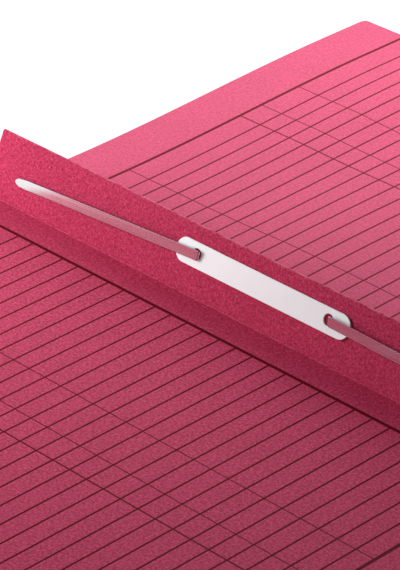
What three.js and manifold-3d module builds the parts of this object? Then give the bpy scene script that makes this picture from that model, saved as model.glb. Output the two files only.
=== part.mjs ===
// Court file folder: one scored and folded sheet of recycled card that lies open.
// A standing pleat between its two leaves carries a strip fastener and a cover plate.
// Millimetres, +Z up. X runs along the spine, from the top of the pages to their foot.
// Y runs across the spine, from the front leaf to the back leaf. The origin is under
// the middle of the spine, on the surface that the folder lies on.

import * as THREE from 'three';
import Module from 'manifold-3d';
import { mergeVertices } from 'three/addons/utils/BufferGeometryUtils.js';

// Card sheet
const FOLDER_LENGTH = 350;
const LEAF_REACH = 258;
const LEAF_CORNER_RADIUS = 3;
const CARD_THICKNESS = 0.5;
const FRONT_LEAF_EDGE = 1.2;
const BACK_LEAF_EDGE = 0.9;

// Standing pleat between the leaves
const PLEAT_LEAN = 66;
const PLEAT_HEIGHT = 30.2;
const PLEAT_FOOT_GAP = 0.3;
const FRONT_PLY_FOOT = 0.9;
const BACK_PLY_FOOT = 0.5;
const BULGE_START = 5;
const BULGE_RUN = 5;
const FOLD_STEPS = 10;

// Strip fastener: a flat base inside the pleat, two legs and two prongs
const PRONG_SPACING = 80;
const STRIP_WIDTH = 4.8;
const STRIP_THICKNESS = 0.45;
const STRIP_SEAT = 17.6;
const LEG_THICKNESS = 0.8;
const PRONG_LENGTH = 118;
const PRONG_TIP_LENGTH = 5;
const PRONG_TIP_WIDTH = 2.4;
const PRONG_ROOT = 0.2;
const LEFT_DROOP = 3.7;
const RIGHT_DROOP = 1.5;

// Cover plate that the prongs pass through
const PLATE_LENGTH = 105;
const PLATE_WIDTH = 11.4;
const PLATE_THICKNESS = 0.8;
const PLATE_CORNER_RADIUS = 5.5;
const PLATE_OFFSET = -0.3;
const SLOT_LENGTH = 5.5;
const SLOT_INNER_REACH = 2.3;
const SLOT_ROUNDING = 0.99;

// Clearances
const SEAT_GAP = 0.3;
const SLIT_CLEARANCE = 0.4;
const SLOT_CLEARANCE = 0.3;
const PLATE_PLAY = 0.7;
const PRONG_CLEARANCE = 0.575;
const CROSSING_CLEARANCE = 0.35;

// Sizes that follow from those above
const HALF_LENGTH = FOLDER_LENGTH / 2;
const PLEAT_GAP = STRIP_THICKNESS + 2 * SEAT_GAP;
const PLEAT_THICKNESS = 2 * CARD_THICKNESS + PLEAT_GAP;
const FOOT_THICKNESS = 2 * CARD_THICKNESS + PLEAT_FOOT_GAP;
const PIVOT_DEPTH = FOOT_THICKNESS / 2;
const PIVOT_HEIGHT = CARD_THICKNESS + SEAT_GAP + PIVOT_DEPTH;
const PLATE_TOP = SEAT_GAP + PLATE_THICKNESS;
const LEFT_HINGE_RISE = PLATE_TOP + PLATE_PLAY + PRONG_CLEARANCE + STRIP_THICKNESS / 2;
const RIGHT_HINGE_RISE = LEFT_HINGE_RISE + STRIP_THICKNESS + CROSSING_CLEARANCE;

const wasm = await Module();
wasm.setup();

const cardboard = (color) =>
  new THREE.MeshStandardMaterial({ color, roughness: 0.92, metalness: 0 });
const tin = () =>
  new THREE.MeshStandardMaterial({ color: 0xc9c6c8, roughness: 0.22, metalness: 1 });
const whitePlastic = () =>
  new THREE.MeshStandardMaterial({ color: 0xe6e2e6, roughness: 0.45, metalness: 0 });

// A closed geometry as a solid for joining and cutting
function solidOf(geometry) {
  const bare = geometry.index ? geometry.toNonIndexed() : geometry.clone();
  bare.deleteAttribute('normal');
  bare.deleteAttribute('uv');
  const merged = mergeVertices(bare, 1e-4);
  return new wasm.Manifold(new wasm.Mesh({
    numProp: 3,
    vertProperties: new Float32Array(merged.attributes.position.array),
    triVerts: new Uint32Array(merged.index.array),
  }));
}

// A solid as a geometry again
function geometryOf(solid) {
  const mesh = solid.getMesh();
  const geometry = new THREE.BufferGeometry();
  geometry.setAttribute('position', new THREE.BufferAttribute(new Float32Array(mesh.vertProperties), 3));
  geometry.setIndex(new THREE.BufferAttribute(new Uint32Array(mesh.triVerts), 1));
  geometry.computeVertexNormals();
  return geometry;
}

function named(name, geometry, material) {
  const mesh = new THREE.Mesh(geometry, material);
  mesh.name = name;
  return mesh;
}

// A section drawn with x up the pleat and y out of it, drawn out along the spine
function alongSpine(shape, length) {
  const geometry = new THREE.ExtrudeGeometry(shape, { depth: length, bevelEnabled: false });
  geometry.translate(0, 0, -length / 2);
  geometry.applyMatrix4(new THREE.Matrix4().makeBasis(
    new THREE.Vector3(0, 1, 0), new THREE.Vector3(0, 0, 1), new THREE.Vector3(1, 0, 0)));
  return geometry;
}

// A rectangle with rounded corners, given by its middle, its sizes and its radius
function roundedRectangle(path, middleX, middleY, sizeX, sizeY, radius) {
  const right = middleX + sizeX / 2;
  const left = middleX - sizeX / 2;
  const top = middleY + sizeY / 2;
  const bottom = middleY - sizeY / 2;
  path.moveTo(left + radius, bottom);
  path.lineTo(right - radius, bottom);
  path.absarc(right - radius, bottom + radius, radius, -Math.PI / 2, 0, false);
  path.lineTo(right, top - radius);
  path.absarc(right - radius, top - radius, radius, 0, Math.PI / 2, false);
  path.lineTo(left + radius, top);
  path.absarc(left + radius, top - radius, radius, Math.PI / 2, Math.PI, false);
  path.lineTo(left, bottom + radius);
  path.absarc(left + radius, bottom + radius, radius, Math.PI, 1.5 * Math.PI, false);
  return path;
}

// One leaf: square at the crease, its outer corners rounded
function leaf(name, side, edge, color) {
  const reach = LEAF_REACH - LEAF_CORNER_RADIUS;
  const shape = new THREE.Shape();
  shape.moveTo(-HALF_LENGTH, edge);
  shape.lineTo(HALF_LENGTH, edge);
  shape.lineTo(HALF_LENGTH, reach);
  shape.absarc(HALF_LENGTH - LEAF_CORNER_RADIUS, reach, LEAF_CORNER_RADIUS, 0, Math.PI / 2, false);
  shape.lineTo(-HALF_LENGTH + LEAF_CORNER_RADIUS, LEAF_REACH);
  shape.absarc(-HALF_LENGTH + LEAF_CORNER_RADIUS, reach, LEAF_CORNER_RADIUS, Math.PI / 2, Math.PI, false);
  const mesh = named(name, new THREE.ExtrudeGeometry(shape, {
    depth: CARD_THICKNESS, bevelEnabled: false, curveSegments: 4,
  }), cardboard(color));
  mesh.rotation.z = side < 0 ? Math.PI : 0;
  return mesh;
}

// The pleat's section: a straight front ply, a round fold and a back ply that
// opens from the foot to make room for the fastener's base
function pleatSection() {
  const foldRadius = PLEAT_THICKNESS / 2;
  const foldMiddle = PLEAT_HEIGHT - foldRadius;
  const bulgeEnd = BULGE_START + BULGE_RUN;
  const shape = new THREE.Shape();
  shape.moveTo(-FRONT_PLY_FOOT, 0);
  shape.lineTo(-FRONT_PLY_FOOT, -CARD_THICKNESS);
  shape.lineTo(foldMiddle, -CARD_THICKNESS);
  for (let step = 1; step < FOLD_STEPS; step += 1) {
    const turn = (Math.PI * step) / FOLD_STEPS;
    const inner = foldRadius - CARD_THICKNESS;
    shape.lineTo(foldMiddle + inner * Math.sin(turn), -foldRadius + inner * Math.cos(turn));
  }
  shape.lineTo(foldMiddle, CARD_THICKNESS - PLEAT_THICKNESS);
  shape.lineTo(bulgeEnd, CARD_THICKNESS - PLEAT_THICKNESS);
  shape.lineTo(BULGE_START, CARD_THICKNESS - FOOT_THICKNESS);
  shape.lineTo(-BACK_PLY_FOOT, CARD_THICKNESS - FOOT_THICKNESS);
  shape.lineTo(-BACK_PLY_FOOT, -FOOT_THICKNESS);
  shape.lineTo(BULGE_START, -FOOT_THICKNESS);
  shape.lineTo(bulgeEnd, -PLEAT_THICKNESS);
  shape.lineTo(foldMiddle, -PLEAT_THICKNESS);
  for (let step = 1; step < FOLD_STEPS; step += 1) {
    const turn = Math.PI - (Math.PI * step) / FOLD_STEPS;
    shape.lineTo(foldMiddle + foldRadius * Math.sin(turn), -foldRadius + foldRadius * Math.cos(turn));
  }
  shape.lineTo(foldMiddle, 0);
  shape.closePath();
  return shape;
}

// The pleat, with a slit in its front ply for each leg of the fastener
function spinePleat() {
  let solid = solidOf(alongSpine(pleatSection(), FOLDER_LENGTH));
  for (const side of [-1, 1]) {
    const slit = new THREE.BoxGeometry(
      LEG_THICKNESS + 2 * SLIT_CLEARANCE, STRIP_WIDTH + 2 * SLIT_CLEARANCE, 2 * CARD_THICKNESS);
    slit.translate((side * PRONG_SPACING) / 2, STRIP_SEAT, -CARD_THICKNESS / 2);
    solid = solid.subtract(solidOf(slit));
  }
  return named('spine_pleat', geometryOf(solid), cardboard(0xb23052));
}

// The strip inside the pleat, turned up at both ends through the front ply and the plate
function fastenerBase() {
  const top = -CARD_THICKNESS - SEAT_GAP;
  const bottom = top - STRIP_THICKNESS;
  const legOut = PRONG_SPACING / 2 + LEG_THICKNESS / 2;
  const legIn = legOut - LEG_THICKNESS;
  const legTop = (rise) => rise - STRIP_THICKNESS / 2 - SEAT_GAP;
  const shape = new THREE.Shape();
  shape.moveTo(-legOut, bottom);
  shape.lineTo(legOut, bottom);
  shape.lineTo(legOut, legTop(RIGHT_HINGE_RISE));
  shape.lineTo(legIn, legTop(RIGHT_HINGE_RISE));
  shape.lineTo(legIn, top);
  shape.lineTo(-legIn, top);
  shape.lineTo(-legIn, legTop(LEFT_HINGE_RISE));
  shape.lineTo(-legOut, legTop(LEFT_HINGE_RISE));
  shape.closePath();
  const geometry = new THREE.ExtrudeGeometry(shape, { depth: STRIP_WIDTH, bevelEnabled: false });
  geometry.translate(0, 0, -STRIP_WIDTH / 2);
  geometry.rotateX(Math.PI / 2);
  geometry.translate(0, STRIP_SEAT, 0);
  return named('fastener_base', geometry, tin());
}

// One prong, bent outward from the top of its leg until its narrowed tip lies on the card
function prong(name, side, rise, droop) {
  const half = STRIP_WIDTH / 2;
  const dip = Math.asin((rise - STRIP_THICKNESS / 2 - SEAT_GAP) / PRONG_LENGTH);
  const shape = new THREE.Shape();
  shape.moveTo(-PRONG_ROOT, -half);
  shape.lineTo(PRONG_LENGTH - PRONG_TIP_LENGTH, -half);
  shape.lineTo(PRONG_LENGTH, -PRONG_TIP_WIDTH / 2);
  shape.lineTo(PRONG_LENGTH, PRONG_TIP_WIDTH / 2);
  shape.lineTo(PRONG_LENGTH - PRONG_TIP_LENGTH, half);
  shape.lineTo(-PRONG_ROOT, half);
  shape.closePath();
  const geometry = new THREE.ExtrudeGeometry(shape, { depth: STRIP_THICKNESS, bevelEnabled: false });
  geometry.translate(0, 0, -STRIP_THICKNESS / 2);
  const mesh = named(name, geometry, tin());
  const heading = side < 0 ? 180 + droop : -droop;
  mesh.rotation.set(0, dip, THREE.MathUtils.degToRad(heading), 'ZYX');
  mesh.position.set((side * PRONG_SPACING) / 2, STRIP_SEAT, rise);
  return mesh;
}

// The flat plate over the prongs' roots, with a round-ended slot for each
function coverPlate() {
  const slotWidth = STRIP_WIDTH + 2 * SLOT_CLEARANCE;
  const slotStart = PRONG_SPACING / 2 - LEG_THICKNESS / 2 - SLOT_INNER_REACH;
  const shape = roundedRectangle(new THREE.Shape(), 0, STRIP_SEAT + PLATE_OFFSET,
    PLATE_LENGTH, PLATE_WIDTH, PLATE_CORNER_RADIUS);
  for (const side of [-1, 1]) {
    const middle = side * (slotStart + SLOT_LENGTH / 2);
    shape.holes.push(roundedRectangle(new THREE.Path(), middle, STRIP_SEAT,
      SLOT_LENGTH, slotWidth, SLOT_ROUNDING * slotWidth / 2));
  }
  const geometry = new THREE.ExtrudeGeometry(shape, {
    depth: PLATE_THICKNESS, bevelEnabled: false, curveSegments: 8,
  });
  geometry.translate(0, 0, SEAT_GAP);
  return named('cover_plate', geometry, whitePlastic());
}

// The leaves lie flat; everything on the pleat leans back with it
const folder = new THREE.Group();
folder.add(leaf('back_cover', 1, BACK_LEAF_EDGE, 0xdf6288));
folder.add(leaf('front_cover', -1, FRONT_LEAF_EDGE, 0xc34068));

const pleat = new THREE.Group();
pleat.position.z = PIVOT_HEIGHT;
pleat.rotation.x = THREE.MathUtils.degToRad(PLEAT_LEAN);
folder.add(pleat);

const pleatFace = new THREE.Group();
pleatFace.position.z = PIVOT_DEPTH;
pleat.add(pleatFace);
pleatFace.add(
  spinePleat(),
  fastenerBase(),
  prong('prong_left', -1, LEFT_HINGE_RISE, LEFT_DROOP),
  prong('prong_right', 1, RIGHT_HINGE_RISE, RIGHT_DROOP),
  coverPlate(),
);

export default folder;
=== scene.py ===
# The looks of the court file folder: its card, ruled tables, strip fastener, cover plate and studio.
# Lengths are in metres. X runs along the spine, Y from the front leaf to the back leaf, +Z is up.

from collections import namedtuple
from math import asin, cos, exp, pi, radians, sin, sqrt

import bmesh
import bpy
from mathutils import Matrix, Vector


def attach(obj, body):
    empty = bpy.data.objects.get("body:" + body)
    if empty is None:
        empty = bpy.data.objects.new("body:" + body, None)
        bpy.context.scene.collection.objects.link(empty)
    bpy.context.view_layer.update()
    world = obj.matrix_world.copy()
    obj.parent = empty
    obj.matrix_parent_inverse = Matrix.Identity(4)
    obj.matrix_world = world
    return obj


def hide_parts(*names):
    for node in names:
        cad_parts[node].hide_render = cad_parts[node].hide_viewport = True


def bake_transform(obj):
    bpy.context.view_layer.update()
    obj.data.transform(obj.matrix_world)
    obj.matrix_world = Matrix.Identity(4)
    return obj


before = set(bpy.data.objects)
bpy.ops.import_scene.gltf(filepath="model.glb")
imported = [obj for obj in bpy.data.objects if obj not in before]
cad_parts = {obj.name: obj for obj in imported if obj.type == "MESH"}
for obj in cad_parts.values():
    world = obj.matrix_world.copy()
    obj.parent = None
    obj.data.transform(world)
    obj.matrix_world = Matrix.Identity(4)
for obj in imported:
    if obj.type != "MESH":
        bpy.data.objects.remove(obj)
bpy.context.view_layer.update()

MM = 0.001

# Card sheet
HALF_LENGTH = 175 * MM
LEAF_REACH = 258 * MM
LEAF_CORNER_RADIUS = 3 * MM
CARD_THICKNESS = 0.5 * MM
CARD_EDGE_ROUNDING = 0.1 * MM
FRONT_CREASE_RADIUS = 0.6 * MM
BACK_CREASE_RADIUS = 0.5 * MM
SEAM_RISE = 2.5 * MM

# Fineness of the card's mesh: spacings along it, and steps round its bends
LEAF_STEP = 6 * MM
COLUMN_STEP = 7 * MM
FRONT_PLY_STEP = 3 * MM
BACK_PLY_STEP = 2 * MM
FOOT_STEP = 1 * MM
FRONT_CREASE_STEPS = 16
BACK_CREASE_STEPS = 20
FOLD_STEPS = 20
SHARP_ANGLE = radians(40)

# Standing pleat: v runs up its front face, w out of that face
PLEAT_LEAN = radians(66)
PLEAT_HEIGHT = 30.2 * MM
PLEAT_THICKNESS = 2.05 * MM
FOOT_THICKNESS = 1.3 * MM
PLEAT_PIVOT = Vector((0, 0, 1.45 * MM))
BULGE_START = 5 * MM
BULGE_END = 10 * MM
SWAY = 0.9 * MM
SWAY_WAVE = 300 * MM
SWAY_MIDDLE = 15 * MM
SWAY_DEPTH = 4 * MM

# Slow waves of the back leaf: its far left quarter lifted, a low hump, and its left side pulled inward
QUARTER_LIFT = 4.641 * MM
QUARTER_START_X = -30 * MM
QUARTER_RUN_X = 75 * MM
QUARTER_START_Y = 60 * MM
QUARTER_RUN_Y = 166.667 * MM
HUMP_LIFT = 1.65 * MM
HUMP_X = -30 * MM
HUMP_REACH_LEFT = 33 * MM
HUMP_REACH_RIGHT = 80 * MM
HUMP_DEPTH = 190 * MM
PULL = 2.7 * MM
PULL_START_X = -30 * MM
PULL_RUN_X = 145 * MM
PULL_RUN_Y = 45 * MM

# Strip fastener
PRONG_SPACING = 80 * MM
FASTENER_SHIFT = 0.6 * MM
LEFT_BULGE = 1.8 * MM
RIGHT_BULGE = -1.1 * MM
STRIP_WIDTH = 4.8 * MM
LEG_WIDTH = 3.8 * MM
STRIP_THICKNESS = 0.45 * MM
STRIP_EDGE_ROUNDING = 0.1 * MM
STRIP_EDGE_DEGREES = (0, 30, 60, 90)
STRIP_SEAT = 17.6 * MM
STRIP_DEPTH = -1.025 * MM
STRIP_SEAM = -0.5 * MM
BASE_BEND_RADIUS = 0.45 * MM
BASE_BEND_STEPS = 8
PRONG_BEND_RADIUS = 0.6 * MM
PRONG_BEND_STEPS = 10
PRONG_LENGTH = 118 * MM
PRONG_TIP_LENGTH = 3.2 * MM
PRONG_TIP_WIDTH = 1.6 * MM
PRONG_TIP_LIFT = 0.7 * MM
PRONG_END_SHARE = 0.2
LEFT_PRONG_RISE = 2.8 * MM
RIGHT_PRONG_RISE = 3.1 * MM
LEFT_DROOP = radians(3.45)
RIGHT_DROOP = radians(1.5)
LEFT_TWIST = radians(14.6)
RIGHT_TWIST = radians(14)
TWIST_AT_ROOT = 0.9
TWIST_RUN = 30 * MM
SLIT_LENGTH = 5.6 * MM
SLIT_WIDTH = 1.2 * MM
SLIT_DEPTH = 3 * CARD_THICKNESS

# Faces round a strip's section that are its flat sides; the others are its cut edges
STRIP_FLATS = (3, 4, 5, 13, 14, 15)

# Sections of a leg: height out of the pleat's face, and share of the way over to its crest
LEG_SECTIONS = ((STRIP_SEAM, 0), (0.2 * MM, 0), (1.1 * MM, 0.3), (1.75 * MM, 0.55))

# Sections of a prong: millimetres from its root, and then shares of its tip
PRONG_SECTIONS = (1, 1.6, 2.2, 3, 3.5, 4, 5, 10, 16, 24, 34, 46, 58, 70, 82, 94, 104, 110)
TIP_SECTIONS = (0.25, 0.5, 0.75, 0.9, 0.97, 1)

# Cover plate
PLATE_LENGTH = 105 * MM
PLATE_WIDTH = 11.4 * MM
PLATE_THICKNESS = 0.8 * MM
PLATE_CORNER_RADIUS = 5.5 * MM
PLATE_CORNER_STEPS = 20
PLATE_MIDDLE = 17.3 * MM
PLATE_LIFT = 0.3 * MM
PLATE_EDGE_ROUNDING = 0.16 * MM
PLATE_EDGE_STEPS = 3
PLATE_PARTS = 15
SLOT_LENGTH = 5.5 * MM
SLOT_WIDTH = 5.4 * MM
SLOT_START = 37.3 * MM
SLOT_CORNER_RADIUS = 2.673 * MM
SLOT_CORNER_STEPS = 12
MERGE_DISTANCE = 0.001 * MM

# Ruled tables, in millimetres on the sheet
ROW_PITCH = 10
TABLE_TOP = -146
FIRST_ROW = -132
TABLE_FOOT = 158
TABLE_WIDTH = 232
HALF_TABLE = TABLE_WIDTH / 2
FRONT_TABLE_START = 17.7
FRONT_COLUMNS = (75, 101)
BACK_TABLE_START = 21.7
BACK_COLUMNS = (15, 41)
ROW_LINE = 1.0
COLUMN_LINE = 0.55
MIDDLE_LINE = 0.8
FRAME_LINE = 1.8
LINE_SOFTNESS = 0.12

# Where, in millimetres beyond its end, ruling starts to fade and is gone: at a row, the top and a side
ROW_CUT = (0.5, 1)
TOP_CUT = (0, 0.5)
SIDE_CUT = (0.8, 0.9)

# Camera, fitted to the crossings of the ruled lines
CAMERA_AZIMUTH = radians(45.4)
CAMERA_ELEVATION = radians(29.8)
CAMERA_TARGET = Vector((-44.9 * MM, 11.1 * MM, 0))
CAMERA_DISTANCE = 1.4286
FOCAL_LENGTH_PX = 3200
FRAME_WIDTH_PX = 400
FRAME_HEIGHT_PX = 570
PRINCIPAL_X_PX = 197.75
PRINCIPAL_Y_PX = 282.0
SENSOR_MM = 36

# Studio light: each lamp's name, place, target, size and watts
WORLD_LIGHT = 0.14
LAMPS = (
    ("back_window", (-0.34, 0.42, 0.28), (-0.05, 0.08, 0), 0.35, 3.0),
    ("back_low_window", (-0.02, 0.27, 0.13), (-0.01, 0.08, 0), 0.14, 0.21),
    ("front_window", (-0.43, -0.27, 0.21), (-0.1, 0, 0), 0.25, 2.3),
    ("front_low_window", (-0.25, -0.45, 0.10), (-0.05, -0.02, 0.02), 0.2, 0.35),
    ("left_window", (-0.33, 0.03, 0.12), (-0.12, 0, 0.01), 0.16, 0.15),
)
FLOOR_SIZE = 12
FLOOR_DROP = 0.2 * MM
FLOOR_ROUGHNESS = 0.9
FLOOR_GLOW = 0.7

# Colours, linear
CARD_COLOUR = (0.61, 0.051, 0.131, 1)
CARD_DARK = (0.26, 0.010, 0.036, 1)
CARD_LIGHT = (0.80, 0.26, 0.34, 1)
# Painted sheen: the whitish haze of light glancing off the card, painted into its colour
CARD_PAINTED_SHEEN = (0.66, 0.185, 0.30, 1)
INK_COLOUR = (0.10, 0.0003, 0.003, 1)
PLATE_COLOUR = (0.92, 0.93, 0.95, 1)
PLATE_SHADE = (0.89, 0.90, 0.92, 1)
TIN_COLOUR = (0.78, 0.77, 0.78, 1)
TIN_SHADE = (0.70, 0.69, 0.70, 1)
# The strip's cut edges: partly dull bare steel and partly painted shade, darkened and tinted like the
# shadow line along the strip's edge
EDGE_COLOUR = (0.20, 0.16, 0.17, 1)
EDGE_SHADE = (0.10, 0.07, 0.08, 1)
FLOOR_COLOUR = (0.9, 0.9, 0.9, 1)
WHITE = (1, 1, 1, 1)

# Layers of the card, deepest first. Each is a noise on the sheet, turned and stretched. Its colour
# begins to show at the noise level start, and shows its full share at the level full
Layer = namedtuple("Layer", "name turn stretch scale detail roughness start full share colour")
EVEN = (1, 1)
FIBRE_STRETCH = (0.35, 2.2)
CARD_LAYERS = (
    Layer("mottle", 0, EVEN, 0.45, 3, 0.5, 0.35, 0.65, 0.26, CARD_DARK),
    Layer("cloud", 0, EVEN, 0.05, 3, 0.5, 0.35, 0.65, 0.10, CARD_DARK),
    Layer("grain", 0, EVEN, 1.6, 4, 0.65, 0.32, 0.68, 0.38, CARD_DARK),
    Layer("pale_pulp", 0.4, EVEN, 1.1, 2, 0.6, 0.55, 0.78, 0.18, CARD_LIGHT),
    Layer("fibres", 0.3, FIBRE_STRETCH, 1.0, 1, 0.5, 0.74, 0.79, 0.75, INK_COLOUR),
    Layer("crossing_fibres", 1.4, FIBRE_STRETCH, 1.0, 1, 0.5, 0.74, 0.79, 0.6, INK_COLOUR),
    Layer("slanting_fibres", 2.5, FIBRE_STRETCH, 1.0, 1, 0.5, 0.74, 0.79, 0.75, INK_COLOUR),
    Layer("flecks", 0.9, EVEN, 0.75, 0, 0.5, 0.91, 0.94, 0.5, CARD_LIGHT),
)

# The card's pulp: factors of its colour where the pulp is dark and where it is pale
PULP_SHADES = ((0.85, 0.58, 0.68, 1), (1.15, 1.42, 1.32, 1))
BACK_PULP_SHADES = ((0.87, 0.86, 0.86, 1), (1.13, 1.14, 1.14, 1))

# The printed sides: their share of painted sheen, a whitish haze of glancing light, its swing with the
# pulp, its reach in from the border, and ink, drawn paler on the back leaf as painted sheen over it
FRONT_PAINTED_SHEEN = 0.12
BACK_PAINTED_SHEEN = 0.28
PAINTED_SHEEN_SWING = (1.1, 0.9)
PAINTED_SHEEN_REACH = (-14, 12)
BACK_PRINT_STRENGTH = 0.94
SOAKED_INK = 0.92

# Lines along a fold, partly wear and partly painted light: millimetres past its place, reach, share and
# colour, and the noise levels and shares that break them up
# At the front crease: a light line, partly wear and partly painted highlight, and past it a dark line of
# painted shade, as of a scored groove
FRONT_CREASE_WEAR_AND_PAINTED_LIGHT = ((0.3, 0.5, 0.3, CARD_LIGHT), (1.4, 0.5, 0.25, CARD_DARK))
# Along the pleat's fold: a light line, partly wear and partly painted highlight on the rounded crest
RIDGE_WEAR_AND_PAINTED_HIGHLIGHT = ((0, 1.2, 0.45, CARD_LIGHT),)
FOLD_MARK_BREAKS = (0.38, 0.62, 0.1, 1.0)

# Other noises: scale per millimetre, detail and roughness
PULP_NOISE = (0.85, 4, 0.65)
PAINTED_SHEEN_NOISE = (0.7, 3, 0.6)
FOLD_MARK_NOISE = (0.25, 3)
TIN_DRAWING_NOISE = (1.0, 2)
TIN_CLOUD_NOISE = (0.15, 2)
EDGE_SHEAR_NOISE = (1.0, 2)
PLATE_SKIN_NOISE = (0.12, 3)
TIN_DRAWING_STRETCH = (0.03, 1.2)
EDGE_SHEAR_STRETCH = (0.8, 6)

# The band that most of a noise's levels fill
NOISE_BAND = (0.3, 0.7)

# Surfaces: shares of a second colour, roughness, gloss, and a bump's distance and strength
CARD_ROUGHNESS = 0.62
CARD_GLOSS = 0.02
CARD_BUMP = (0.05 * MM, 0.6)
TIN_SHADE_SHARE = 0.25
TIN_ROUGHNESS = (0.14, 0.22)
TIN_BUMP = (0.0005 * MM, 0.1)
EDGE_ROUGHNESS = 0.45
PLATE_SHADE_SHARE = 0.35
PLATE_ROUGHNESS = (0.34, 0.44)
PLATE_BUMP = (0.02 * MM, 0.2)

# Quarters of a rounded rectangle, anticlockwise
QUARTERS = ((1, 1), (-1, 1), (-1, -1), (1, -1))


# Places on the pleat

UP_THE_PLEAT = Vector((0, cos(PLEAT_LEAN), sin(PLEAT_LEAN)))
OUT_OF_THE_PLEAT = Vector((0, -sin(PLEAT_LEAN), cos(PLEAT_LEAN)))
PLEAT_FACE = PLEAT_PIVOT + OUT_OF_THE_PLEAT * (FOOT_THICKNESS / 2)
PLEAT_AXES = Matrix((Vector((1, 0, 0)), UP_THE_PLEAT, OUT_OF_THE_PLEAT)).transposed().to_4x4()


def on_pleat(x, v, w):
    """The point x along the spine, v up the pleat's front face and w out of it."""
    return PLEAT_FACE + Vector((x, 0, 0)) + UP_THE_PLEAT * v + OUT_OF_THE_PLEAT * w


def swayed(point):
    """A point moved with the pleat's slow sway, which is nothing at its foot and most at its fold.

    Points below the foot, or further behind the pleat than SWAY_DEPTH, stay.
    """
    apart = point - PLEAT_FACE
    v = apart.dot(UP_THE_PLEAT)
    if v <= 0 or apart.dot(OUT_OF_THE_PLEAT) < -SWAY_DEPTH:
        return point
    wave = SWAY * cos(2 * pi * (point.x - SWAY_MIDDLE) / SWAY_WAVE)
    return point + OUT_OF_THE_PLEAT * wave * (v / PLEAT_HEIGHT) ** 2


def eased(share):
    """A share held between 0 and 1, with a soft start and end."""
    share = min(1, max(0, share))
    return share * share * (3 - 2 * share)


def waved(point):
    """A point of the back leaf moved with the leaf's slow waves, which are nothing at the spine."""
    if point.y <= 0:
        return point
    along = min(1, max(0, (QUARTER_START_X - point.x) / QUARTER_RUN_X))
    lift = QUARTER_LIFT * along * eased((point.y - QUARTER_START_Y) / QUARTER_RUN_Y)
    apart = point.x - HUMP_X
    reach = HUMP_REACH_LEFT if apart < 0 else HUMP_REACH_RIGHT
    lift += HUMP_LIFT * exp(-(apart / reach) ** 2) * sin(pi * min(1, point.y / HUMP_DEPTH))
    pull = PULL * min(1, max(0, (PULL_START_X - point.x) / PULL_RUN_X)) * eased(point.y / PULL_RUN_Y)
    return point + Vector((pull, 0, lift))


# The card's section, walked from the front leaf's fore edge to the back leaf's

HALF_CARD = CARD_THICKNESS / 2
FRONT_PLY = -HALF_CARD
BACK_PLY = HALF_CARD - PLEAT_THICKNESS
BACK_PLY_FOOT = HALF_CARD - FOOT_THICKNESS
FOLD_RADIUS = PLEAT_THICKNESS / 2 - HALF_CARD
FOLD_MIDDLE = PLEAT_HEIGHT - PLEAT_THICKNESS / 2


def crease_centre(ply, radius, side):
    """The middle of the bend between a leaf's flat card and a ply, side +1 in front and -1 behind."""
    height = HALF_CARD + radius
    out = ply + side * radius
    start = PLEAT_FACE + OUT_OF_THE_PLEAT * out
    rise = (height - start.z) / UP_THE_PLEAT.z
    return start + UP_THE_PLEAT * rise


def arc(centre, radius, first, last, steps):
    """Points on a bend in the section, with angles in radians from +Y towards +Z."""
    turn = (last - first) / steps
    return [
        centre + Vector((0, cos(first + turn * k), sin(first + turn * k))) * radius
        for k in range(steps + 1)
    ]


def straight(start, end, step):
    """Points between two others, without the first one."""
    count = max(1, round((end - start).length / step))
    return [start.lerp(end, k / count) for k in range(1, count + 1)]


FRONT_CREASE = crease_centre(FRONT_PLY, FRONT_CREASE_RADIUS, 1)
BACK_CREASE = crease_centre(BACK_PLY_FOOT, BACK_CREASE_RADIUS, -1)
DOWN = -pi / 2


def front_section():
    """The front leaf, its crease and the foot of the front ply."""
    edge = [Vector((0, inset - LEAF_REACH, HALF_CARD)) for inset in corner_insets()]
    last = DOWN + PLEAT_LEAN
    crease = arc(FRONT_CREASE, FRONT_CREASE_RADIUS, DOWN, last, FRONT_CREASE_STEPS)
    leaf = straight(edge[-1], crease[0], LEAF_STEP)
    foot = straight(crease[-1], on_pleat(0, SEAM_RISE, FRONT_PLY), FOOT_STEP)
    return edge + leaf + crease[1:] + foot


def pleat_section():
    """Both plies and the fold, from the front seam to the back seam."""
    centre = on_pleat(0, FOLD_MIDDLE, -PLEAT_THICKNESS / 2)
    front = on_pleat(0, SEAM_RISE, FRONT_PLY)
    first = PLEAT_LEAN + pi / 2
    fold = arc(centre, FOLD_RADIUS, first, first - pi, FOLD_STEPS)
    points = [front] + straight(front, fold[0], FRONT_PLY_STEP) + fold[1:]
    for v, w in ((BULGE_END, BACK_PLY), (BULGE_START, BACK_PLY_FOOT), (SEAM_RISE, BACK_PLY_FOOT)):
        points += straight(points[-1], on_pleat(0, v, w), BACK_PLY_STEP)
    return points


def back_section():
    """The foot of the back ply, its crease and the back leaf."""
    top = on_pleat(0, SEAM_RISE, BACK_PLY_FOOT)
    first = PLEAT_LEAN + pi / 2
    crease = arc(BACK_CREASE, BACK_CREASE_RADIUS, first, 3 * pi / 2, BACK_CREASE_STEPS)
    edge = [Vector((0, LEAF_REACH - inset, HALF_CARD)) for inset in reversed(corner_insets())]
    foot = straight(top, crease[0], FOOT_STEP)
    leaf = straight(crease[-1], edge[0], LEAF_STEP)
    return [top] + foot + crease[1:] + leaf + edge[1:]


def corner_insets():
    """Distances from a fore edge at which the rounded corners need a row."""
    rounding = [CARD_EDGE_ROUNDING * (1 - cos(radians(a))) for a in (0, 45, 90)]
    corner = [LEAF_CORNER_RADIUS * (1 - cos(radians(a))) for a in range(15, 91, 15)]
    return rounding + corner


def length_of(points):
    return sum((b - a).length for a, b in zip(points, points[1:]))


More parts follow.
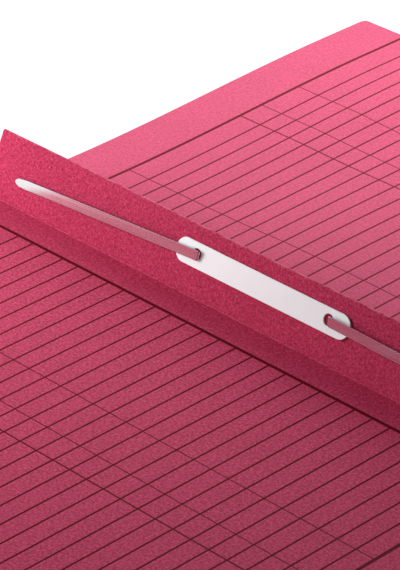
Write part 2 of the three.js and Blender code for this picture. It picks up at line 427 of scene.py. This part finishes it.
def half_length_at(inset):
    """How far the leaf reaches to each side at a distance from its fore edge."""
    if inset >= LEAF_CORNER_RADIUS:
        return HALF_LENGTH
    short = LEAF_CORNER_RADIUS - max(inset, CARD_EDGE_ROUNDING / 4)
    return HALF_LENGTH - LEAF_CORNER_RADIUS + sqrt(LEAF_CORNER_RADIUS**2 - short**2)


def half_thickness_at(inset):
    """Half the card's thickness, rounded off at a fore edge."""
    if inset >= CARD_EDGE_ROUNDING:
        return HALF_CARD
    short = CARD_EDGE_ROUNDING - inset
    return HALF_CARD - CARD_EDGE_ROUNDING + sqrt(CARD_EDGE_ROUNDING**2 - short**2)


def section_ring(half_length, half_thickness):
    """The card cut along the spine: points (x, offset) from the inside's left end round to it.

    The second result is how many of them lie on the inside.
    """
    r = CARD_EDGE_ROUNDING
    flat = half_length - r
    count = round(2 * HALF_LENGTH / COLUMN_STEP)
    inner = [-flat, -flat + r]
    inner += [(flat - r) * (2 * k / count - 1) for k in range(1, count)]
    inner += [flat - r, flat]
    corner = [(flat + r * sin(radians(a)), half_thickness - r * (1 - cos(radians(a)))) for a in (45, 90)]
    right = corner + [(x, -o) for x, o in reversed(corner)]
    ring = [(x, half_thickness) for x in inner] + right
    ring += [(x, -half_thickness) for x in reversed(inner)]
    ring += [(-x, o) for x, o in reversed(right)]
    return ring, len(inner)


def lofted(name, map_name, rings, main_faces):
    """A closed skin over rings of (point, place on the flat sheet), with the places as its UV map.

    main_faces are the faces round a ring that take the first material; the others take the second.
    """
    mesh = bmesh.new()
    flat = mesh.loops.layers.uv.new(map_name)
    places = {}
    rows = []
    for ring in rings:
        row = []
        for point, place in ring:
            vertex = mesh.verts.new(point)
            places[vertex] = place
            row.append(vertex)
        rows.append(row)
    size = len(rows[0])
    for a, b in zip(rows, rows[1:]):
        for j in range(size):
            face = mesh.faces.new((a[j], a[(j + 1) % size], b[(j + 1) % size], b[j]))
            face.material_index = 0 if j in main_faces else 1
    for row in (rows[0], rows[-1]):
        mesh.faces.new(row).material_index = 1
    for face in mesh.faces:
        face.smooth = True
        for loop in face.loops:
            loop[flat].uv = places[loop.vert]
    bmesh.ops.recalc_face_normals(mesh, faces=mesh.faces)
    return finished(name, mesh)


def card_piece(name, points, start, fore_edge, shaped=swayed):
    """A stretch of the sheet, lofted along its section. Its UV map holds metres on the flat sheet.

    start is the sheet's length before the first point, and fore_edge is "first", "last" or None.
    """
    rings = []
    travelled = start
    for k, point in enumerate(points):
        ahead = points[min(k + 1, len(points) - 1)] - point
        behind = point - points[max(k - 1, 0)]
        travelled += behind.length
        heading = (ahead.normalized() + behind.normalized()).normalized()
        normal = Vector((0, -heading.z, heading.y))
        insets = {"first": length_of(points[:k + 1]), "last": length_of(points[k:])}
        inset = insets.get(fore_edge, LEAF_REACH)
        ring, inner = section_ring(half_length_at(inset), half_thickness_at(inset))
        rings.append([
            (shaped(point + Vector((x, 0, 0)) + normal * offset), (x, travelled))
            for x, offset in ring
        ])
    return lofted(name, "sheet", rings, range(inner - 1))


def linked(name, mesh):
    """A bmesh as an object in the scene."""
    data = bpy.data.meshes.new(name)
    mesh.to_mesh(data)
    mesh.free()
    piece = bpy.data.objects.new(name, data)
    bpy.context.collection.objects.link(piece)
    return piece


def finished(name, mesh):
    """A smooth bmesh as an object in the scene, with its real edges kept sharp."""
    piece = linked(name, mesh)
    piece.data.set_sharp_from_angle(angle=SHARP_ANGLE)
    return piece


def cut(piece, cutter):
    """Takes the cutter's space out of a piece and removes the cutter."""
    modifier = piece.modifiers.new("cut", "BOOLEAN")
    modifier.operation = "DIFFERENCE"
    modifier.solver = "EXACT"
    modifier.object = cutter
    applied(piece)
    bpy.data.objects.remove(cutter)


def applied(piece):
    """Replaces a piece's mesh with what its modifiers make of it."""
    bpy.context.view_layer.update()
    seen = piece.evaluated_get(bpy.context.evaluated_depsgraph_get())
    data = bpy.data.meshes.new_from_object(seen)
    data.materials.clear()
    piece.modifiers.clear()
    piece.data = data


def slit_cutter(side):
    """A block that takes the slit for one of the strip's legs out of the front ply."""
    middle = swayed(on_pleat(side * PRONG_SPACING / 2 + FASTENER_SHIFT, STRIP_SEAT, FRONT_PLY))
    size = Matrix.Diagonal((SLIT_WIDTH, SLIT_LENGTH, SLIT_DEPTH, 1))
    mesh = bmesh.new()
    bmesh.ops.create_cube(mesh, size=1, matrix=Matrix.Translation(middle) @ PLEAT_AXES @ size)
    return linked("slit", mesh)


# Strip metal

def strip_piece(name, stations):
    """A flat strip lofted through stations of (middle, across, out, width), with rounded edges."""
    r = STRIP_EDGE_ROUNDING
    half = STRIP_THICKNESS / 2
    rings = []
    travelled = 0
    previous = stations[0][0]
    for middle, across, out, width in stations:
        travelled += (middle - previous).length
        previous = middle
        side = width / 2 - r
        ring = []
        for turn, (to_side, to_out) in enumerate(QUARTERS):
            angles = [radians(a + 90 * turn) for a in STRIP_EDGE_DEGREES]
            corner = [(to_side * side + r * cos(a), to_out * (half - r) + r * sin(a)) for a in angles]
            support = (to_side * (side - r), to_out * half)
            ring += corner + [support] if to_side * to_out > 0 else [support] + corner
        rings.append([(swayed(middle + across * a + out * o), (travelled, a)) for a, o in ring])
    return lofted(name, "strip", rings, STRIP_FLATS)


def prong_stations(side, rise, droop, twist, bulge):
    """A prong from inside its slit, up its leg, round its bend and out to its tip.

    bulge is how far the leg leans, on its way up to its crest, towards the other prong.
    """
    dip = asin((rise - STRIP_THICKNESS / 2 - PRONG_TIP_LIFT) / PRONG_LENGTH)
    root = PRONG_SPACING / 2
    crest = root - bulge
    radius = PRONG_BEND_RADIUS
    stations = []

    def add(x, drop, w, heading, width, lean):
        """heading turns from up the leg, 0, to out along the prong, 90 degrees and the dip."""
        out = OUT_OF_THE_PLEAT * sin(heading) - Vector((side * cos(heading), 0, 0))
        ahead = OUT_OF_THE_PLEAT * cos(heading) + Vector((side * sin(heading), 0, 0))
        turned = Matrix.Rotation(lean * side, 3, ahead)
        across = turned @ UP_THE_PLEAT
        middle = on_pleat(side * x + FASTENER_SHIFT, STRIP_SEAT - drop, w)
        stations.append((middle, across, turned @ out, width))

    for w, share in LEG_SECTIONS + ((rise - radius, 1),):
        add(root + (crest - root) * share, 0, w, 0, LEG_WIDTH, 0)
    for k in range(1, PRONG_BEND_STEPS + 1):
        share = k / PRONG_BEND_STEPS
        turn = (pi / 2 + dip) * share
        width = LEG_WIDTH + (STRIP_WIDTH - LEG_WIDTH) * share
        lean = twist * TWIST_AT_ROOT * min(1, 2 * share)
        add(crest + radius * (1 - cos(turn)), 0, rise - radius + radius * sin(turn), turn, width, lean)
    tip_start = PRONG_LENGTH - PRONG_TIP_LENGTH
    distances = [millimetres * MM for millimetres in PRONG_SECTIONS]
    distances += [tip_start + PRONG_TIP_LENGTH * share for share in TIP_SECTIONS]
    for distance in distances:
        reach = distance * cos(dip)
        # A leg that leans outward ends its bend beyond the first sections, so these are left out
        if root + reach > crest + radius:
            w = rise - distance * sin(dip)
            lean = twist * min(1, TWIST_AT_ROOT + (1 - TWIST_AT_ROOT) * distance / TWIST_RUN)
            x = root + reach * cos(droop)
            add(x, reach * sin(droop), w, pi / 2 + dip, prong_width(distance), lean)
    return stations


def prong_width(distance):
    """The strip's width, narrowed along the tip and rounded at its very end."""
    short = PRONG_LENGTH - distance
    if short >= PRONG_TIP_LENGTH:
        return STRIP_WIDTH
    taper = PRONG_TIP_WIDTH + (STRIP_WIDTH - PRONG_TIP_WIDTH) * short / PRONG_TIP_LENGTH
    nose = PRONG_TIP_WIDTH / 2
    if short < nose:
        taper *= sqrt(max(PRONG_END_SHARE**2, 1 - (1 - short / nose) ** 2))
    return taper


def base_stations():
    """The strip's base inside the pleat, turned up into both slits."""
    root = PRONG_SPACING / 2
    radius = BASE_BEND_RADIUS
    stations = []

    def add(x, w, heading):
        out = OUT_OF_THE_PLEAT * cos(heading) - Vector((sin(heading), 0, 0))
        middle = on_pleat(x + FASTENER_SHIFT, STRIP_SEAT, w)
        stations.append((middle, UP_THE_PLEAT, out, STRIP_WIDTH))

    turns = [pi / 2 * k / BASE_BEND_STEPS for k in range(BASE_BEND_STEPS + 1)]
    add(-root, STRIP_SEAM, DOWN)
    for turn in turns:
        add(-root + radius * (1 - cos(turn)), STRIP_DEPTH + radius * (1 - sin(turn)), DOWN + turn)
    for turn in reversed(turns):
        add(root - radius * (1 - cos(turn)), STRIP_DEPTH + radius * (1 - sin(turn)), pi / 2 - turn)
    add(root, STRIP_SEAM, pi / 2)
    return stations


# Cover plate

def rounded_outline(middle_x, middle_v, length, width, radius, steps):
    """Points round a rectangle with rounded corners."""
    points = []
    for quarter, (sx, sv) in enumerate(QUARTERS):
        cx = middle_x + sx * (length / 2 - radius)
        cv = middle_v + sv * (width / 2 - radius)
        for k in range(steps + 1):
            angle = pi / 2 * (quarter + k / steps)
            points.append((cx + radius * cos(angle), cv + radius * sin(angle)))
    return points


def plate_outlines():
    """The plate's rim and its two slots, each as (x, v) points."""
    rim = (PLATE_MIDDLE, PLATE_LENGTH, PLATE_WIDTH, PLATE_CORNER_RADIUS, PLATE_CORNER_STEPS)
    slot = (STRIP_SEAT, SLOT_LENGTH, SLOT_WIDTH, SLOT_CORNER_RADIUS, SLOT_CORNER_STEPS)
    slot_x = SLOT_START + SLOT_LENGTH / 2
    return [rounded_outline(0, *rim)] + [rounded_outline(side * slot_x, *slot) for side in (-1, 1)]


def plate_piece():
    """The plate with its two slots, its edges rounded all round."""
    curve = bpy.data.curves.new("cover_plate_outline", "CURVE")
    curve.dimensions = "2D"
    curve.fill_mode = "BOTH"
    curve.extrude = PLATE_THICKNESS / 2 - PLATE_EDGE_ROUNDING
    curve.bevel_depth = PLATE_EDGE_ROUNDING
    curve.bevel_resolution = PLATE_EDGE_STEPS
    curve.offset = -PLATE_EDGE_ROUNDING
    for outline in plate_outlines():
        spline = curve.splines.new("POLY")
        spline.points.add(len(outline) - 1)
        for point, (x, v) in zip(spline.points, outline):
            point.co = (x, v, 0, 1)
        spline.use_cyclic_u = True
    drawn = bpy.data.objects.new("cover_plate_outline", curve)
    bpy.context.collection.objects.link(drawn)
    bpy.context.view_layer.update()
    seen = drawn.evaluated_get(bpy.context.evaluated_depsgraph_get())
    data = bpy.data.meshes.new_from_object(seen)
    bpy.data.objects.remove(drawn)
    middle = on_pleat(0, 0, PLATE_LIFT + PLATE_THICKNESS / 2)
    data.transform(Matrix.Translation(middle) @ PLEAT_AXES)
    mesh = bmesh.new()
    mesh.from_mesh(data)
    bmesh.ops.remove_doubles(mesh, verts=mesh.verts, dist=MERGE_DISTANCE)
    for k in range(1, PLATE_PARTS):
        across = Vector((PLATE_LENGTH * (k / PLATE_PARTS - 0.5), 0, 0))
        everything = mesh.verts[:] + mesh.edges[:] + mesh.faces[:]
        bmesh.ops.bisect_plane(mesh, geom=everything, plane_co=across, plane_no=(1, 0, 0))
    for vertex in mesh.verts:
        vertex.co = swayed(vertex.co)
    for face in mesh.faces:
        face.smooth = True
    piece = finished("cover_plate_moulding", mesh)
    piece.modifiers.new("flat_faces", "WEIGHTED_NORMAL")
    applied(piece)
    return piece


# Materials

class Recipe:
    """A material's node tree, with short calls for the nodes that the recipes below use."""

    def __init__(self, name):
        self.material = bpy.data.materials.new(name)
        self.material.use_nodes = True
        self.tree = self.material.node_tree
        self.surface = self.tree.nodes["Principled BSDF"]

    def wire(self, value, socket):
        if isinstance(value, bpy.types.NodeSocket):
            self.tree.links.new(value, socket)
        else:
            socket.default_value = value

    def set(self, name, value):
        """Gives one of the surface's own sockets a value or a node's output."""
        self.wire(value, self.surface.inputs[name])

    def node(self, kind, **settings):
        made = self.tree.nodes.new(kind)
        for key, value in settings.items():
            setattr(made, key, value)
        return made

    def math(self, operation, a, b=0.0):
        made = self.node("ShaderNodeMath", operation=operation)
        self.wire(a, made.inputs[0])
        self.wire(b, made.inputs[1])
        return made.outputs[0]

    def apart(self, value, place):
        """How far a value is from a place."""
        return self.math("ABSOLUTE", self.math("SUBTRACT", value, place))

    def in_millimetres(self, vector):
        made = self.node("ShaderNodeVectorMath", operation="SCALE")
        self.wire(vector, made.inputs[0])
        made.inputs["Scale"].default_value = 1 / MM
        return made.outputs[0]

    def place(self, name):
        """A UV map's coordinates in millimetres."""
        return self.in_millimetres(self.node("ShaderNodeUVMap", uv_map=name).outputs[0])

    def split(self, vector):
        made = self.node("ShaderNodeSeparateXYZ")
        self.wire(vector, made.inputs[0])
        return made.outputs[0], made.outputs[1]

    def stretched(self, vector, turn, scale):
        """The place turned by an angle and then scaled by its own factor each way."""
        made = self.node("ShaderNodeMapping")
        self.wire(vector, made.inputs["Vector"])
        made.inputs["Rotation"].default_value = (0, 0, turn)
        made.inputs["Scale"].default_value = (scale[0], scale[1], 1)
        return made.outputs[0]

    def noise(self, vector, scale, detail=2.0, roughness=0.5, dimensions="2D"):
        made = self.node("ShaderNodeTexNoise", noise_dimensions=dimensions)
        self.wire(vector, made.inputs["Vector"])
        made.inputs["Scale"].default_value = scale
        made.inputs["Detail"].default_value = detail
        made.inputs["Roughness"].default_value = roughness
        return made.outputs[0]

    def between(self, value, low, high, to_low=0.0, to_high=1.0):
        """A smooth step from to_low, at low, to to_high, at high."""
        made = self.node("ShaderNodeMapRange", interpolation_type="SMOOTHSTEP")
        for number, socket in zip((value, low, high, to_low, to_high), made.inputs):
            self.wire(number, socket)
        return made.outputs[0]

    def mix(self, factor, a, b, blend="MIX"):
        made = self.node("ShaderNodeMix", data_type="RGBA", blend_type=blend)
        self.wire(factor, made.inputs["Factor"])
        self.wire(a, made.inputs["A"])
        self.wire(b, made.inputs["B"])
        return made.outputs["Result"]

    def bump(self, height, distance, strength):
        made = self.node("ShaderNodeBump")
        self.wire(height, made.inputs["Height"])
        made.inputs["Distance"].default_value = distance
        made.inputs["Strength"].default_value = strength
        self.set("Normal", made.outputs[0])


def card_stock(recipe, sheet):
    """Mottled recycled card: its colour with all its layers, and its grain."""
    colour = CARD_COLOUR
    noises = {}
    for layer in CARD_LAYERS:
        place = recipe.stretched(sheet, layer.turn, layer.stretch)
        noises[layer.name] = recipe.noise(place, layer.scale, layer.detail, layer.roughness)
        shown = recipe.between(noises[layer.name], layer.start, layer.full, 0.0, layer.share)
        colour = recipe.mix(shown, colour, layer.colour)
    return colour, noises["grain"]


def line(recipe, distance, width):
    """Ink where a distance in millimetres is less than half a line's width."""
    half = width / 2
    return recipe.between(distance, half - LINE_SOFTNESS, half + LINE_SOFTNESS, 1.0, 0.0)


def span(recipe, value, low, low_cut, high, high_cut):
    """1 from low to high, which falls to 0 beyond each end as its cut says."""
    start = recipe.between(value, low - low_cut[1], low - low_cut[0])
    end = recipe.between(value, high + high_cut[0], high + high_cut[1], 1.0, 0.0)
    return recipe.math("MULTIPLY", start, end)


def ruled_table(recipe, along, across, columns):
    """The printed table. along runs down the page, and across out from the spine-side border."""
    down = recipe.math("SUBTRACT", along, FIRST_ROW)
    rows = line(recipe, recipe.math("PINGPONG", down, ROW_PITCH / 2), ROW_LINE)
    ruled_part = span(recipe, along, FIRST_ROW, ROW_CUT, TABLE_FOOT, ROW_CUT)
    rows = recipe.math("MULTIPLY", rows, ruled_part)

    in_half = recipe.math("MODULO", recipe.math("ADD", across, HALF_TABLE), HALF_TABLE)
    upright = line(recipe, recipe.math("PINGPONG", across, HALF_TABLE / 2), MIDDLE_LINE)
    for column in columns:
        beside = line(recipe, recipe.apart(in_half, column), COLUMN_LINE)
        upright = recipe.math("MAXIMUM", upright, beside)
    page = span(recipe, along, TABLE_TOP, TOP_CUT, TABLE_FOOT, ROW_CUT)
    upright = recipe.math("MULTIPLY", upright, page)

    ink = recipe.math("MAXIMUM", rows, upright)
    for level in (TABLE_TOP, TABLE_FOOT):
        ink = recipe.math("MAXIMUM", ink, line(recipe, recipe.apart(along, level), FRAME_LINE))
    ink = recipe.math("MULTIPLY", ink, span(recipe, across, 0, SIDE_CUT, TABLE_WIDTH, SIDE_CUT))

    near_side = line(recipe, recipe.apart(across, 0), FRAME_LINE)
    far_side = line(recipe, recipe.apart(across, TABLE_WIDTH), FRAME_LINE)
    sides = recipe.math("MULTIPLY", recipe.math("MAXIMUM", near_side, far_side), page)
    return recipe.math("MAXIMUM", ink, sides)


def card_material(name, table=None, folds=(), painted_sheen=0.0, print_strength=1.0, pulp_shades=PULP_SHADES):
    """Card with the worn and painted-light lines of its folds, and with a table if one is given.

    table is (the sheet's length at its border, the direction away from the spine, its columns),
    painted_sheen the share of painted sheen on the printed side, and print_strength how strongly its ink
    shows, which is less on the back leaf as painted sheen over the ink.
    """
    recipe = Recipe(name)
    sheet = recipe.place("sheet")
    along, length = recipe.split(sheet)
    colour, grain = card_stock(recipe, sheet)
    if table:
        border, direction, columns = table
        across = recipe.math("MULTIPLY", recipe.math("SUBTRACT", length, border), direction)
        # Painted sheen on the printed side, patchy with the pulp and left off near the spine, where the
        # pleat shades the card
        levels = [factor * painted_sheen for factor in PAINTED_SHEEN_SWING]
        painted_sheen_share = recipe.between(recipe.noise(sheet, *PAINTED_SHEEN_NOISE), *NOISE_BAND, *levels)
        painted_sheen_share = recipe.math("MULTIPLY", painted_sheen_share, recipe.between(across, *PAINTED_SHEEN_REACH))
        colour = recipe.mix(painted_sheen_share, colour, CARD_PAINTED_SHEEN)
    pulp = recipe.between(recipe.noise(sheet, *PULP_NOISE), *NOISE_BAND)
    colour = recipe.mix(1.0, colour, recipe.mix(pulp, *pulp_shades), "MULTIPLY")
    # Each fold's lines, partly wear and partly painted highlight and painted shade
    for place, reach, share, tint in folds:
        fold_mark = recipe.between(recipe.apart(length, place), 0, reach, share, 0.0)
        broken = recipe.between(recipe.noise(sheet, *FOLD_MARK_NOISE), *FOLD_MARK_BREAKS)
        colour = recipe.mix(recipe.math("MULTIPLY", fold_mark, broken), colour, tint)
    if table:
        ink = ruled_table(recipe, along, across, columns)
        soaked = recipe.between(grain, *NOISE_BAND, print_strength, SOAKED_INK * print_strength)
        colour = recipe.mix(recipe.math("MULTIPLY", ink, soaked), colour, INK_COLOUR)
    recipe.set("Base Color", colour)
    recipe.set("Roughness", CARD_ROUGHNESS)
    recipe.set("Specular IOR Level", CARD_GLOSS)
    recipe.bump(grain, *CARD_BUMP)
    return recipe.material


def fold_marks_at(place, marks):
    """A fold's lines of wear and painted light, moved to its place on the sheet in millimetres."""
    return tuple((place + past, reach, share, tint) for past, reach, share, tint in marks)


def tin_material():
    """Bright tin plate, faintly drawn along the strip."""
    recipe = Recipe("tin_plate")
    strip = recipe.place("strip")
    drawn = recipe.noise(recipe.stretched(strip, 0, TIN_DRAWING_STRETCH), *TIN_DRAWING_NOISE)
    cloud = recipe.noise(strip, *TIN_CLOUD_NOISE)
    shaded = recipe.between(cloud, *NOISE_BAND, 0.0, TIN_SHADE_SHARE)
    recipe.set("Base Color", recipe.mix(shaded, TIN_COLOUR, TIN_SHADE))
    recipe.set("Roughness", recipe.between(drawn, *NOISE_BAND, *TIN_ROUGHNESS))
    recipe.set("Metallic", 1)
    recipe.bump(drawn, *TIN_BUMP)
    return recipe.material


def cut_edge_material():
    """The strip's sheared edges: partly dull bare steel and partly painted shade, dark like the shadow
    line along the strip's edge.
    """
    recipe = Recipe("cut_steel_edge")
    strip = recipe.place("strip")
    shear = recipe.noise(recipe.stretched(strip, 0, EDGE_SHEAR_STRETCH), *EDGE_SHEAR_NOISE)
    recipe.set("Base Color", recipe.mix(recipe.between(shear, *NOISE_BAND), EDGE_COLOUR, EDGE_SHADE))
    recipe.set("Metallic", 1)
    recipe.set("Roughness", EDGE_ROUGHNESS)
    return recipe.material


def plate_material():
    """Smooth white moulded plastic with a faint unevenness."""
    recipe = Recipe("white_plastic")
    inside = recipe.in_millimetres(recipe.node("ShaderNodeTexCoord").outputs["Object"])
    skin = recipe.noise(inside, *PLATE_SKIN_NOISE, dimensions="3D")
    shaded = recipe.between(skin, *NOISE_BAND, 0.0, PLATE_SHADE_SHARE)
    recipe.set("Base Color", recipe.mix(shaded, PLATE_COLOUR, PLATE_SHADE))
    recipe.set("Roughness", recipe.between(skin, *NOISE_BAND, *PLATE_ROUGHNESS))
    recipe.bump(skin, *PLATE_BUMP)
    return recipe.material


# The folder's pieces

front_points = front_section()
pleat_points = pleat_section()
back_points = back_section()

# The sheet's length counts from the spine, so on the front leaf it is close to Y
FRONT_START = -LEAF_REACH
PLEAT_START = FRONT_START + length_of(front_points)
BACK_START = PLEAT_START + length_of(pleat_points)
FRONT_CREASE_PLACE = FRONT_CREASE.y / MM
RIDGE_PLACE = (PLEAT_START + (FOLD_MIDDLE - SEAM_RISE) + pi * FOLD_RADIUS / 2) / MM
BACK_EDGE_PLACE = (BACK_START + length_of(back_points)) / MM
BACK_BORDER = BACK_EDGE_PLACE - (LEAF_REACH / MM - BACK_TABLE_START)

front_card = card_piece("front_cover_card", front_points, FRONT_START, "first")
pleat_card = card_piece("spine_pleat_card", pleat_points, PLEAT_START, None)
back_card = card_piece("back_cover_card", back_points, BACK_START, "last", waved)
for side in (-1, 1):
    cut(pleat_card, slit_cutter(side))

front_table = (-FRONT_TABLE_START, -1, FRONT_COLUMNS)
back_table = (BACK_BORDER, 1, BACK_COLUMNS)
front_folds = fold_marks_at(FRONT_CREASE_PLACE, FRONT_CREASE_WEAR_AND_PAINTED_LIGHT)
# The plain side carries the front crease's lines and the painted highlight along the pleat's fold
plain_card = card_material("card_plain", folds=front_folds + fold_marks_at(RIDGE_PLACE, RIDGE_WEAR_AND_PAINTED_HIGHLIGHT))
front_print = card_material("card_front_print", front_table, front_folds, FRONT_PAINTED_SHEEN)
# The back leaf's print: more painted sheen, and its ink drawn paler as painted sheen over it
back_looks = ((), BACK_PAINTED_SHEEN, BACK_PRINT_STRENGTH, BACK_PULP_SHADES)
back_print = card_material("card_back_print", back_table, *back_looks)

for piece, print_material, slot in (
    (front_card, front_print, "card_front"),
    (pleat_card, plain_card, "card_pleat"),
    (back_card, back_print, "card_back"),
):
    piece.data.materials.append(print_material)
    piece.data.materials.append(plain_card)

tin = tin_material()
cut_edge = cut_edge_material()
left_stations = prong_stations(-1, LEFT_PRONG_RISE, LEFT_DROOP, LEFT_TWIST, LEFT_BULGE)
left_prong = strip_piece("prong_left_strip", left_stations)
right_stations = prong_stations(1, RIGHT_PRONG_RISE, RIGHT_DROOP, RIGHT_TWIST, RIGHT_BULGE)
right_prong = strip_piece("prong_right_strip", right_stations)
base_strip = strip_piece("fastener_base_strip", base_stations())
for piece, slot in ((left_prong, "tin_prong"), (right_prong, "tin_prong"), (base_strip, "tin_base")):
    piece.data.materials.append(tin)
    piece.data.materials.append(cut_edge)

plate = plate_piece()
plate.data.materials.append(plate_material())

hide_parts("front_cover")
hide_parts("spine_pleat")
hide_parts("back_cover")
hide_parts("prong_left")
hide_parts("prong_right")
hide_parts("fastener_base")
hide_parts("cover_plate")

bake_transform(front_card)
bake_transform(back_card)
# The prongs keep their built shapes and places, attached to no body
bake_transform(left_prong)
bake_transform(right_prong)
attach(pleat_card, "pleat")
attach(base_strip, "pleat")
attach(plate, "plate")


# Studio

def floor():
    """A white floor that stays white to the camera but keeps the folder's shadow."""
    mesh = bmesh.new()
    lowered = Matrix.Translation((0, 0, -FLOOR_DROP))
    bmesh.ops.create_grid(mesh, x_segments=1, y_segments=1, size=FLOOR_SIZE / 2, matrix=lowered)
    ground = linked("studio_floor", mesh)
    recipe = Recipe("studio_floor")
    recipe.set("Base Color", FLOOR_COLOUR)
    recipe.set("Roughness", FLOOR_ROUGHNESS)
    glow = recipe.node("ShaderNodeEmission")
    glow.inputs["Color"].default_value = WHITE
    rays = recipe.node("ShaderNodeLightPath")
    seen = recipe.math("MAXIMUM", rays.outputs["Is Camera Ray"], rays.outputs["Is Glossy Ray"])
    both = recipe.node("ShaderNodeMixShader")
    recipe.wire(recipe.math("MULTIPLY", seen, FLOOR_GLOW), both.inputs[0])
    recipe.wire(recipe.surface.outputs[0], both.inputs[1])
    recipe.wire(glow.outputs[0], both.inputs[2])
    recipe.wire(both.outputs[0], recipe.tree.nodes["Material Output"].inputs["Surface"])
    ground.data.materials.append(recipe.material)


def sky():
    """An even white world, full white to the camera and to reflections."""
    world = bpy.data.worlds.new("studio")
    bpy.context.scene.world = world
    world.use_nodes = True
    tree = world.node_tree
    light = tree.nodes["Background"]
    light.inputs["Color"].default_value = WHITE
    light.inputs["Strength"].default_value = WORLD_LIGHT
    seen = tree.nodes.new("ShaderNodeBackground")
    seen.inputs["Color"].default_value = WHITE
    rays = tree.nodes.new("ShaderNodeLightPath")
    either = tree.nodes.new("ShaderNodeMath")
    either.operation = "MAXIMUM"
    both = tree.nodes.new("ShaderNodeMixShader")
    tree.links.new(rays.outputs["Is Camera Ray"], either.inputs[0])
    tree.links.new(rays.outputs["Is Glossy Ray"], either.inputs[1])
    tree.links.new(either.outputs[0], both.inputs[0])
    tree.links.new(light.outputs[0], both.inputs[1])
    tree.links.new(seen.outputs[0], both.inputs[2])
    tree.links.new(both.outputs[0], tree.nodes["World Output"].inputs["Surface"])


def lamp(name, place, target, size, watts):
    """A square soft box at place, turned towards target."""
    light = bpy.data.lights.new(name, "AREA")
    light.shape = "SQUARE"
    light.size = size
    light.energy = watts
    made = bpy.data.objects.new(name, light)
    made.location = place
    made.visible_camera = False
    made.rotation_euler = (Vector(target) - Vector(place)).to_track_quat("-Z", "Y").to_euler()
    bpy.context.collection.objects.link(made)


def camera():
    """The photograph's view."""
    data = bpy.data.cameras.new("photo_view")
    data.sensor_width = SENSOR_MM
    data.lens = FOCAL_LENGTH_PX * SENSOR_MM / FRAME_HEIGHT_PX
    data.shift_x = (FRAME_WIDTH_PX / 2 - PRINCIPAL_X_PX) / FRAME_HEIGHT_PX
    data.shift_y = (PRINCIPAL_Y_PX - FRAME_HEIGHT_PX / 2) / FRAME_HEIGHT_PX
    made = bpy.data.objects.new("photo_view", data)
    a, e = CAMERA_AZIMUTH, CAMERA_ELEVATION
    back = Vector((sin(a) * cos(e), -cos(a) * cos(e), sin(e)))
    made.location = CAMERA_TARGET + back * CAMERA_DISTANCE
    made.rotation_euler = (-back).to_track_quat("-Z", "Y").to_euler()
    bpy.context.collection.objects.link(made)
    bpy.context.scene.camera = made


floor()
sky()
camera()
for settings in LAMPS:
    lamp(*settings)
bpy.context.scene.view_settings.view_transform = "Standard"
